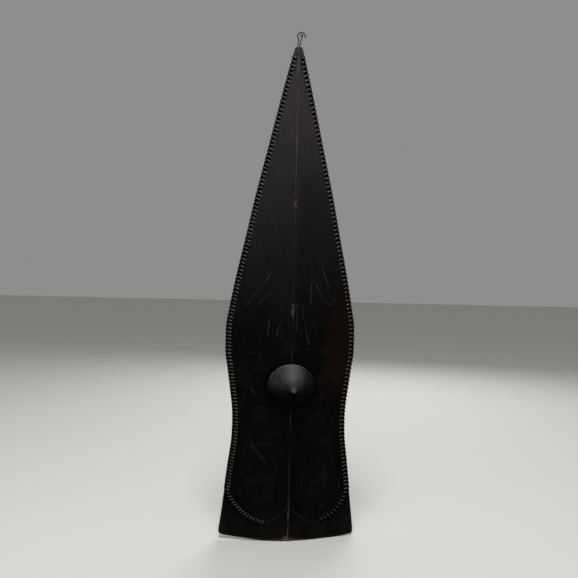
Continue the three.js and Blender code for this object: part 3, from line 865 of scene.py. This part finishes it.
def coconut_shell():
    """A scraped coconut shell, black with soot, its upper side dusted pale along the fibres and further
    paled by painted light from above, with painted shade on its sides, most on its right, and painted
    highlights on its crown and round its nub.
    """
    s = Shader("coconut_shell")
    fibre = s.attribute("fibre")
    speck = s.noise(900, 3, 0.6)
    cloud = s.noise(38, 4, 0.6)
    rightward, backward, upward = s.normal()
    aside = s.math("ABSOLUTE", rightward)
    black, thin_soot = (0.0006, 0.0006, 0.0006), (0.0014, 0.0013, 0.0013)
    dull_top_tone, clear_top_tone = (0.044, 0.043, 0.0425), (0.054, 0.0525, 0.0515)
    dark_top_tone, top_highlight, scraped = (0.026, 0.0252, 0.0248), (0.1, 0.0985, 0.097), (0.08, 0.0785, 0.077)
    lit_edge, worn_shell_and_highlight = (0.15, 0.148, 0.145), (0.14, 0.136, 0.13)
    uneven = s.product(s.math("SUBTRACT", cloud, 0.5), 0.5)
    uneven = s.math("ADD", uneven, s.product(s.math("SUBTRACT", fibre, 0.5), 0.05))
    uneven = s.math("SUBTRACT", uneven, s.product(rightward, 0.05))
    # partly dusted shell, partly painted light: faces that look up, and more so on the left, turn pale
    greyed = s.ramp(s.math("ADD", upward, uneven), -0.38, 0.75)
    dust_and_top_light = s.layered(
        s.mix(s.ramp(fibre, 0.1, 0.95), dull_top_tone, clear_top_tone),
        (dark_top_tone, s.ramp(cloud, 0.42, 0.68, 0, 0.6)),
        (scraped, s.ramp(s.noise(150, 5, 0.7, (1, 1, 0.3)), 0.42, 0.62, 0, 0.5)),
        # painted highlight across the top of the shell
        (top_highlight, s.ramp(upward, 0.3, 0.6), s.ramp(aside, 0.34, 0.05), 0.75),
    )
    base = s.layered(
        s.mix(s.ramp(fibre, 0.2, 0.8), black, thin_soot),
        # the pale layer, as painted light from above, with painted shade on the shell's sides, most on its
        # right
        (dust_and_top_light, greyed, s.ramp(rightward, -0.15, -0.6, 1, 0.6), s.ramp(rightward, 0.2, 0.62, 1, 0.22)),
        (lit_edge, s.ramp(backward, -0.34, -0.08), s.ramp(upward, 0.25, 0.6), 0.5),
        # partly worn bare, partly a painted highlight round the nub
        (worn_shell_and_highlight, s.attribute("rubbed_and_painted_light"), 0.85),
    )
    relief = s.math("ADD", s.product(fibre, 0.25), s.product(speck, 0.75))
    return s.finish(base, s.ramp(cloud, 0.3, 0.7, 0.4, 0.55), 0.015, Normal=s.bump(relief, 0.3, 0.0004))


def split_rattan():
    """Split rattan gone black with soot; where it crosses the front its straw colour is worn free, with a
    painted highlight by the hole, painted shade towards the rim and painted light on the strands of the
    right side.
    """
    s = Shader("split_rattan")
    soot, worn = (0.0012, 0.0011, 0.0011), (0.1, 0.0945, 0.079)
    bright, greyed = (0.14, 0.134, 0.119), (0.112, 0.109, 0.105)
    side, _, height = s.place()
    right_foot = s.product(s.ramp(side, 0, 0.02), s.ramp(height, -0.25, -0.29), 0.35)
    rubbed_and_painted_light = s.product(s.attribute("worn"), s.ramp(s.noise(95, 3, 0.6), 0.3, 0.6, 0.4, 1))
    rubbed_and_painted_light = s.product(rubbed_and_painted_light, s.math("SUBTRACT", 1, right_foot))
    straw = s.layered(
        worn,
        # painted light: the strands on the right side are lighter
        (bright, s.ramp(side, 0, 0.02, 0, 0.35)),
        (bright, s.ramp(height, -0.1, 0.16)),
        (greyed, s.ramp(height, 0.15, 0.5)),
    )
    fibre = s.noise(1400, 3, 0.6, (0.12, 1, 1))
    return s.finish(s.mix(rubbed_and_painted_light, soot, straw), 0.5, 0.07, Normal=s.bump(fibre, 0.35, 0.0003))


def rusty_wire():
    """Rusted wire, dark at its ring and dusty at its neck."""
    s = Shader("rusty_wire")
    rust = s.noise(700, 4, 0.7)
    rusted = s.ramp(rust, 0.4, 0.65)
    ring = s.mix(rusted, (0.004, 0.0027, 0.002), (0.016, 0.0105, 0.0077))
    neck = s.mix(rusted, (0.042, 0.032, 0.027), (0.095, 0.077, 0.068))
    base = s.mix(s.ramp(s.place()[2], 0.812, 0.826), neck, ring)
    return s.finish(base, 0.7, Metallic=0.2, Normal=s.bump(rust, 0.5, 0.0003))


wood = sooty_wood()
shell_finish = coconut_shell()
rattan = split_rattan()
wire_finish = rusty_wire()


def finish_piece(piece, material, body):
    piece.data.materials.clear()
    piece.data.materials.append(material)
    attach(piece, body)


# The plank

plank = plank_piece()
finish_piece(plank, wood, SHIELD)
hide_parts("board")


# The rattan: half-round split strands that bend round the rim, and ties with eased edges

TIE_EASING = 0.4
TIE_SHARP_ANGLE = 35
STRAND_WIDTH = 3.6
STRAND_THICKNESS = 1
STRAND_SECTION = [
    (-1, -0.5), (-1, 0.05), (-0.66, 0.38), (0, 0.5), (0.66, 0.38), (1, 0.05), (1, -0.5), (0, -0.42),
]
CROWN_FROM = 0.2
PIECE_GAP = 0.3
STRAND_LIFT = PIECE_GAP + STRAND_THICKNESS / 2
TAIL_LENGTH = 9
END_SHORT = 3
LAST_END_SHARE = 0.45
HOLE_BEND = 1.1
RIM_BEND = 2
BEND_STEPS = 4
BEND_LEG_SHARE = 0.45
ARC_END_GAP = 0.01
STRAND_WANDER = 0.55
WANDER_STEP = 1.37
WANDER_SIDE_STEP = 3.1
CROSSING_PLACES = (0.12, 0.25, 0.45, 0.62, 0.8)

# Rubbing and painted light at the hole, at each crossing place, at the rim and on the strand's sides, by
# height: a painted highlight by the hole and painted shade towards the rim
RUB_AND_LIGHT_HEIGHTS = (-120, 60, 260, 450)
FOOT_RUB_AND_LIGHT = (0.9, 1, 0.95, 0.65, 0.3, 0.06, 0.02, 0.1)
MIDDLE_RUB_AND_LIGHT = (1, 1, 0.95, 0.6, 0.3, 0.12, 0.03, 0.1)
TIP_RUB_AND_LIGHT = (1, 1, 1, 0.9, 0.75, 0.6, 0.35, 0.35)


def rub_and_light_at(z):
    levels = zip(FOOT_RUB_AND_LIGHT, MIDDLE_RUB_AND_LIGHT, MIDDLE_RUB_AND_LIGHT, TIP_RUB_AND_LIGHT)
    hole, *crossing, rim_end_rub_and_shade, sides = (float(np.interp(z, RUB_AND_LIGHT_HEIGHTS, level)) for level in levels)
    return hole, crossing, rim_end_rub_and_shade, sides


# A place where a strand bends, how wide it turns and whether the run after it crosses the front
Corner = namedtuple("Corner", "point wide bend crossing", defaults=(0, False))


def on_face(place, along, on_front):
    """A point that stands off a face by the strand's lift, and the direction of its width there."""
    x, z = place
    face, out = (front_face, -1) if on_front else (rear_face, 1)
    slope = float(face(x + 0.5, z) - face(x - 0.5, z))
    y = float(face(x, z)) + out * STRAND_LIFT * math.hypot(1, slope)
    wide = np.array([along[0], along[0] * slope, along[1]])
    return np.array([x, y, z]), unit(wide)


def strand_corners(row, first, last, wander):
    corners = []

    def add(place, along, on_front, *more):
        corners.append(Corner(*on_face(place, along, on_front), *more))

    def add_turn(i, rear_lead):
        """Up through a hole, aslant across the front and round the rim."""
        distance = row.distance_of(i)
        hole, along, _ = row.frame(distance)
        add(hole, along, False, HOLE_BEND)
        add(hole, along, True, HOLE_BEND, True)
        leads = [FRONT_LEAD + wander[i], rear_lead + wander[i]]
        if distance < row.on_arc:
            leads = [min(FRONT_LEAD, row.on_arc - ARC_END_GAP - distance)] * 2
        for lead, on_front in zip(leads, (True, False)):
            _, along, outer = row.frame(distance + lead, STRAND_LIFT)
            add(outer, along, on_front, RIM_BEND)

    start, along, _ = row.frame(row.distance_of(first))
    add(start + np.array([-along[1], along[0]]) * row.side * TAIL_LENGTH, along, False)
    for i in range(first, last):
        add_turn(i, RIM_LEAD)
    end = row.distance_of(last)
    if last == row.turns:
        add_turn(last, FRONT_LEAD)
        end += FRONT_LEAD
    hole, along, _ = row.frame(end)
    point, wide = on_face(hole, along, False)
    back = corners[-1].point - point
    short = back * (1 - LAST_END_SHARE) if last == row.turns else unit(back) * END_SHORT
    corners.append(Corner(point + short, wide))
    return corners


def stepped(here, towards, step):
    """The point a step from here towards another, and at most a share of the way there."""
    leg = towards - here
    return here + unit(leg) * min(step, BEND_LEG_SHARE * np.linalg.norm(leg))


def bent_path(corners):
    """Points, width directions and rubbing with painted light along corners that are rounded by their own
    radii.
    """
    made = [(corners[0].point, corners[0].wide, 0)]
    for before, here, after in zip(corners, corners[1:], corners[2:]):
        hole_rub_and_highlight, crossing_rub_and_shade, rim_rub_and_shade, _ = rub_and_light_at(here.point[2])
        start, end = (stepped(here.point, other.point, here.bend) for other in (before, after))
        rub_and_shade_in = rim_rub_and_shade if before.crossing else 0
        rub_and_highlight_out = hole_rub_and_highlight if here.crossing else 0
        for t in np.linspace(0, 1, BEND_STEPS):
            rub_and_light = rub_and_shade_in * (1 - t) ** 3 + rub_and_highlight_out * t**3
            made.append((bend(start, here.point, end, t), here.wide, rub_and_light))
        if here.crossing:
            for t, rub_and_light in zip(CROSSING_PLACES, crossing_rub_and_shade):
                made.append((end + (after.point - end) * t, here.wide * (1 - t) + after.wide * t, rub_and_light))
    made.append((corners[-1].point, corners[-1].wide, 0))
    return made


def swept_strand(name, path, side):
    rings, worn = [], []
    points = [path[0][0], *(point for point, _, _ in path), path[-1][0]]
    for (point, wide, rub_and_light), before, after in zip(path, points, points[2:]):
        ahead = unit(after - before)
        wide = unit(wide - ahead * (wide @ ahead))
        out = np.cross(ahead, wide) * side * STRAND_THICKNESS
        rings.append(np.array([point + a * STRAND_WIDTH / 2 * wide + b * out for a, b in STRAND_SECTION]))
        # rubbing with painted light: a highlight by the hole, painted shade towards the rim
        on_sides = rub_and_light_at(point[2])[-1]
        on_crown = [(1 - on_sides) * (1 - a**2) if b > CROWN_FROM else 0 for a, b in STRAND_SECTION]
        worn.append(rub_and_light * (on_sides + np.array(on_crown)))
    vertices, faces = loft(rings)
    if side > 0:
        faces = [face[::-1] for face in faces]
    piece = mesh_piece(name, vertices, faces, sharp=50)
    add_values(piece, "worn", worn)
    return piece


def whip_rim(name):
    row = rows[name]
    count = math.ceil(row.turns / TURNS_PER_STRAND)
    places = [Vector((i * WANDER_STEP, row.side * WANDER_SIDE_STEP, 0.5)) for i in range(row.turns + 1)]
    wander = [STRAND_WANDER * noise.noise(place) for place in places]
    for k in range(count):
        first, last = round(k * row.turns / count), round((k + 1) * row.turns / count)
        path = bent_path(strand_corners(row, first, last, wander))
        strand = swept_strand(f"whipping_{name}_{k + 1}", path, row.side)
        finish_piece(strand, rattan, SHIELD)
        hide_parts(f"rim_whipping_{name}_{k + 1}")


for side_name in SIDES:
    whip_rim(side_name)


def ease_tie(name):
    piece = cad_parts[name]
    piece.data.materials.clear()
    piece.data.materials.append(rattan)
    bevel = piece.modifiers.new("eased", "BEVEL")
    bevel.width = TIE_EASING * MM
    bevel.segments = 2
    bevel.limit_method = "ANGLE"
    bevel.angle_limit = math.radians(TIE_SHARP_ANGLE)
    piece.data.shade_smooth()
    smooth = piece.modifiers.new("normals", "WEIGHTED_NORMAL")
    smooth.keep_sharp = False


for node_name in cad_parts:
    if node_name.startswith("boss_tie"):
        ease_tie(node_name)


# The grip, a bar left standing across the hand hole

GRIP_HALF_WIDTH = 13
GRIP_REAR = 10
GRIP_STRAIGHT = 26
GRIP_REACH = 70
GRIP_DROP = 11
GRIP_WAIST = 0.6
GRIP_WAIST_REACH = 24
GRIP_ROOT_SPREAD = 5
GRIP_ROOT_HEIGHTS = (38, 54)
GRIP_SQUARENESS = 0.5
GRIP_SECTION_POINTS = 40
GRIP_STEPS = 72


def grip_piece():
    section = circle(1, 0, 0, GRIP_SECTION_POINTS)
    section = np.sign(section) * np.abs(section) ** GRIP_SQUARENESS
    rings = []
    for z in np.linspace(-GRIP_REACH, GRIP_REACH, GRIP_STEPS):
        past = max(0, (abs(z) - GRIP_STRAIGHT) / (GRIP_REACH - GRIP_STRAIGHT))
        rear = GRIP_REAR - GRIP_DROP * past**2
        waist = GRIP_WAIST * math.exp(-((z / GRIP_WAIST_REACH) ** 2))
        half = GRIP_HALF_WIDTH - waist + GRIP_ROOT_SPREAD * smoothstep(*GRIP_ROOT_HEIGHTS, abs(z))
        x = half * section[:, 0]
        y = (rear - GRIP_REAR) / 2 + (rear + GRIP_REAR) / 2 * section[:, 1]
        rings.append(np.column_stack([x, y, np.full_like(x, z)]))
    return mesh_piece("grip", *loft(rings), sharp=60)


grip = grip_piece()
for layer_name in ("groove", "rim", "band"):
    grip.data.attributes.new(layer_name, "FLOAT", "POINT")
finish_piece(grip, wood, SHIELD)


# The half coconut shell

BOSS_HALF_WIDTH = 56
BOSS_HALF_HEIGHT = 53
BOSS_RISE = 50
BOSS_WALL = 4
BOSS_ROUNDNESS = 1.5
BOSS_FULLNESS = 0.55
BOSS_EDGE_ROUNDING = 0.6
BOSS_INNER_EDGE_ROUNDING = 0.5
BOSS_TURNS = 192
BOSS_RINGS = 56
BOSS_RINGS_PER_INNER_RING = 3
NUB_OUTLINE = [(2.875, 0), (2.5, 0.5), (2.3, 3.4), (1.5, 3.95), (0.3, 4)]
NUB_RING_RADIUS = 5
NUB_RING_WIDTH = 1.1
NUB_RING_RISE = 1.2
EYE_DISTANCE = 41
EYE_ANGLE = -3
EYE_RADIUS = 4
EYE_DEPTH = 1.1
EYE_SHARPNESS = 1.6
EYE_LIP = 0.5
EYE_LIP_PLACE = 1.3
EYE_LIP_SHARPNESS = 6

# The shell's uneven surface, which calms towards its crown and its edge
FINE_RISE = 0.1
BROAD_RISE = 0.9
CALM_CROWN = 0.6
CALM_EDGE = 0.08

# The noises on the shell: how fine each is round it and from crown to edge, and where it starts
FINE_NOISE = (16, 2.2, 0)
BROAD_NOISE = (2.3, 2.5, 4)
FIBRE_NOISE = (40, 3, 9)


def boss_height(share, rise):
    return rise * (1 - np.clip(share, 0, 1) ** BOSS_ROUNDNESS) ** BOSS_FULLNESS


def boss_piece():
    turns = np.arange(BOSS_TURNS) * 2 * math.pi / BOSS_TURNS
    shares = np.sin(np.linspace(1, 0, BOSS_RINGS)[:-1] * math.pi / 2)
    eye = EYE_DISTANCE * Vector((math.cos(math.radians(EYE_ANGLE)), math.sin(math.radians(EYE_ANGLE))))
    rings, fibres, nub_rub_and_highlight_rings = [], [], []

    def add(half_x, half_z, height, fibre, nub_rub_and_highlight):
        """A ring by its half widths; the last three are one value each, or one for each turn."""
        y, fibre, nub_rub_and_highlight = (np.broadcast_to(values, turns.shape) for values in (CREST - height, fibre, nub_rub_and_highlight))
        rings.append(np.column_stack([half_x * np.cos(turns), y, half_z * np.sin(turns)]))
        fibres.append(fibre)
        nub_rub_and_highlight_rings.append(nub_rub_and_highlight)

    def add_inner(share):
        half_x, half_z = share * (BOSS_HALF_WIDTH - BOSS_WALL), share * (BOSS_HALF_HEIGHT - BOSS_WALL)
        add(half_x, half_z, boss_height(share, BOSS_RISE - BOSS_WALL), 0, 0)

    def add_edge(wall, lift):
        half_x, half_z = BOSS_HALF_WIDTH - wall, BOSS_HALF_HEIGHT - wall
        add(half_x, half_z, PIECE_GAP + lift - keel_fall(half_x * np.cos(turns)), 0.4, 0)

    def add_outer(share):
        half_x, half_z = BOSS_HALF_WIDTH * share, BOSS_HALF_HEIGHT * share
        seat = smoothstep(0, CALM_CROWN, share) * np.clip((1 - share) / CALM_EDGE, 0, 1)
        height, fibre, nub_rub_and_highlight = [], [], []
        for turn in turns:
            x, z = half_x * math.cos(turn), half_z * math.sin(turn)
            fine, broad, thin = (
                noise_round(turn, scale, share * inward + start)
                for scale, inward, start in (FINE_NOISE, BROAD_NOISE, FIBRE_NOISE)
            )
            fibre.append(0.5 + 0.5 * fine + 0.35 * thin)
            away = math.hypot(x - eye.x, z - eye.y) / EYE_RADIUS
            rise = seat * (FINE_RISE * fine + BROAD_RISE * broad)
            rise += EYE_LIP * math.exp(-((away - EYE_LIP_PLACE) ** 2) * EYE_LIP_SHARPNESS)
            rise -= EYE_DEPTH * math.exp(-(away**2) * EYE_SHARPNESS)
            on_ring = math.exp(-(((math.hypot(x, z) - NUB_RING_RADIUS) / NUB_RING_WIDTH) ** 2))
            height.append(rise + NUB_RING_RISE * on_ring)
            # the raised ring round the nub: worn, with a painted highlight stronger on its lower half
            nub_rub_and_highlight.append(on_ring * (1 if math.sin(turn) < 0.5 else 0.4))
        add(half_x, half_z, boss_height(share, BOSS_RISE) + np.array(height), fibre, nub_rub_and_highlight)

    for share in shares[::-1][::BOSS_RINGS_PER_INNER_RING]:
        add_inner(share)
    add_inner(1)
    add_edge(BOSS_WALL, BOSS_INNER_EDGE_ROUNDING)
    add_edge(BOSS_WALL - BOSS_INNER_EDGE_ROUNDING, 0)
    add_edge(BOSS_EDGE_ROUNDING, 0)
    add_edge(0, BOSS_EDGE_ROUNDING)
    for share in shares:
        add_outer(share)
    # the nub, its top with a painted highlight
    for radius, rise in NUB_OUTLINE:
        add(radius, radius, BOSS_RISE + rise, 0.8, 0.9 if rise > 1 else 0.1)
    piece = mesh_piece("coconut_boss", *loft(rings), sharp=50)
    add_values(piece, "fibre", fibres)
    add_values(piece, "rubbed_and_painted_light", nub_rub_and_highlight_rings)
    return piece


boss = boss_piece()
finish_piece(boss, shell_finish, SHIELD)
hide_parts("boss_shell")


# The wire loop through the tip

WIRE_RADIUS = 1.4
STRAND_SPREAD = 2.6
NECK_RISE = 27
RING = dict(radius=9.5, x=5.7, rise=44, first=-11, last=225, steps=26)
CURL = dict(radius=2.7, x=6, rise=45.5, first=-60, last=230, steps=16)
WIRE_BEND = 2.2
WIRE_BEND_STEPS = 5
STRAIGHT_ENOUGH = 22.5


def arc_points(radius, x, rise, first, last, steps):
    turn = np.radians(np.linspace(first, last, steps))
    return [(x + radius * math.cos(t), rise + radius * math.sin(t)) for t in turn]


def round_corners(points):
    """The same path with its sharp corners rounded; nearly straight ones stay."""
    made = [points[0]]
    for before, here, after in zip(points, points[1:], points[2:]):
        back, ahead = before - here, after - here
        if unit(back) @ unit(ahead) < -math.cos(math.radians(STRAIGHT_ENOUGH)):
            made.append(here)
            continue
        cut = min(WIRE_BEND, np.linalg.norm(back) / 2, np.linalg.norm(ahead) / 2)
        start, end = here + unit(back) * cut, here + unit(ahead) * cut
        made.extend(bend(start, here, end, t) for t in np.linspace(0, 1, WIRE_BEND_STEPS))
    made.append(points[-1])
    return made


def wire_piece():
    """The doubled wire: from the open ring down one strand, through the hole and up to the curl."""
    hole_z = TIP - TIP_HOLE_DROP
    front = float(front_face(0, hole_z)) - WIRE_RADIUS - PIECE_GAP
    rear = float(rear_face(0, hole_z)) + WIRE_RADIUS + PIECE_GAP
    middle = (front + rear) / 2
    over = TIP_HOLE_DROP + WIRE_RADIUS + PIECE_GAP
    curl_foot = (CURL["x"] - CURL["radius"] + WIRE_RADIUS, RING["rise"] - RING["radius"] + 2 * WIRE_RADIUS)
    points = [
        *((x, middle, z) for x, z in arc_points(**RING)),
        (-STRAND_SPREAD, middle, NECK_RISE),
        (-STRAND_SPREAD, front, over),
        (-STRAND_SPREAD / 2, front, TIP_HOLE_DROP / 3),
        (0, front, 0),
        (0, rear, 0),
        (STRAND_SPREAD / 2, rear, TIP_HOLE_DROP / 3),
        (STRAND_SPREAD, rear, over),
        (STRAND_SPREAD, middle, NECK_RISE),
        *((x, middle, z) for x, z in (curl_foot, *arc_points(**CURL))),
    ]
    curve = bpy.data.curves.new("wire_loop", "CURVE")
    curve.dimensions = "3D"
    curve.bevel_depth = WIRE_RADIUS * MM
    curve.bevel_resolution = 3
    curve.use_fill_caps = True
    spline = curve.splines.new("POLY")
    rounded = round_corners([np.array([x, y, hole_z + z]) for x, y, z in points])
    spline.points.add(len(rounded) - 1)
    for target, point in zip(spline.points, rounded):
        target.co = (*(point * MM), 1)
    return placed("wire_loop", curve)


wire = wire_piece()
finish_piece(wire, wire_finish, HANGER)
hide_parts("hanging_wire")


# The floor, the light and the camera at the photograph's viewing angle

FLOOR_REACH = 30


def add_floor():
    mesh = bpy.data.meshes.new("floor")
    corners = ((-1, -1), (1, -1), (1, 1), (-1, 1))
    places = [(FLOOR_REACH * x, FLOOR_REACH * y, FOOT * MM) for x, y in corners]
    mesh.from_pydata(places, [], [(0, 1, 2, 3)])
    floor = placed("floor", mesh)
    floor.data.materials.append(Shader("pale_floor").finish((0.72, 0.71, 0.69), 0.9, 0.1))


def add_light(name, place, aim, size, power):
    light = bpy.data.lights.new(name, "AREA")
    light.size = size
    light.energy = power
    lamp = placed(name, light)
    lamp.location = place
    lamp.rotation_euler = (Vector(aim) - Vector(place)).to_track_quat("-Z", "Y").to_euler()


CAMERA_PLACE = Vector((-0.184, -1.371, 0.228))
CAMERA_YAW = 7.29
CAMERA_PITCH = -0.13
CAMERA_ROLL = 1.35
SENSOR_WIDTH = 36
FOCAL_LENGTH = 36


def add_camera():
    data = bpy.data.cameras.new("camera")
    data.sensor_width = SENSOR_WIDTH
    data.lens = FOCAL_LENGTH
    camera = placed("camera", data)
    turned = Matrix.Translation(CAMERA_PLACE)
    for degrees, axis in ((-CAMERA_YAW, "Z"), (90 - CAMERA_PITCH, "X"), (CAMERA_ROLL, "Z")):
        turned = turned @ Matrix.Rotation(math.radians(degrees), 4, axis)
    camera.matrix_world = turned
    bpy.context.scene.camera = camera


for leftover in ("Cube", "Light", "Camera"):
    if leftover in bpy.data.objects:
        bpy.data.objects.remove(bpy.data.objects[leftover])

WORLD_TINT = (0.27, 0.27, 0.265, 1)

add_floor()
add_light("key", (-0.2, -1.25, 2.6), (0, 0, 0.2), 1.1, 60)
add_light("fill", (-1.6, -1.5, 0.9), (0, 0, 0.1), 1.6, 3)
add_light("back", (0.9, 2.4, 1.7), (0, 0, 0.1), 1.8, 35)
add_camera()

scene = bpy.context.scene
world = bpy.data.worlds.new("studio")
world.use_nodes = True
background = world.node_tree.nodes["Background"]
background.inputs["Color"].default_value = WORLD_TINT
background.inputs["Strength"].default_value = 1
scene.world = world
scene.view_settings.view_transform = "Standard"
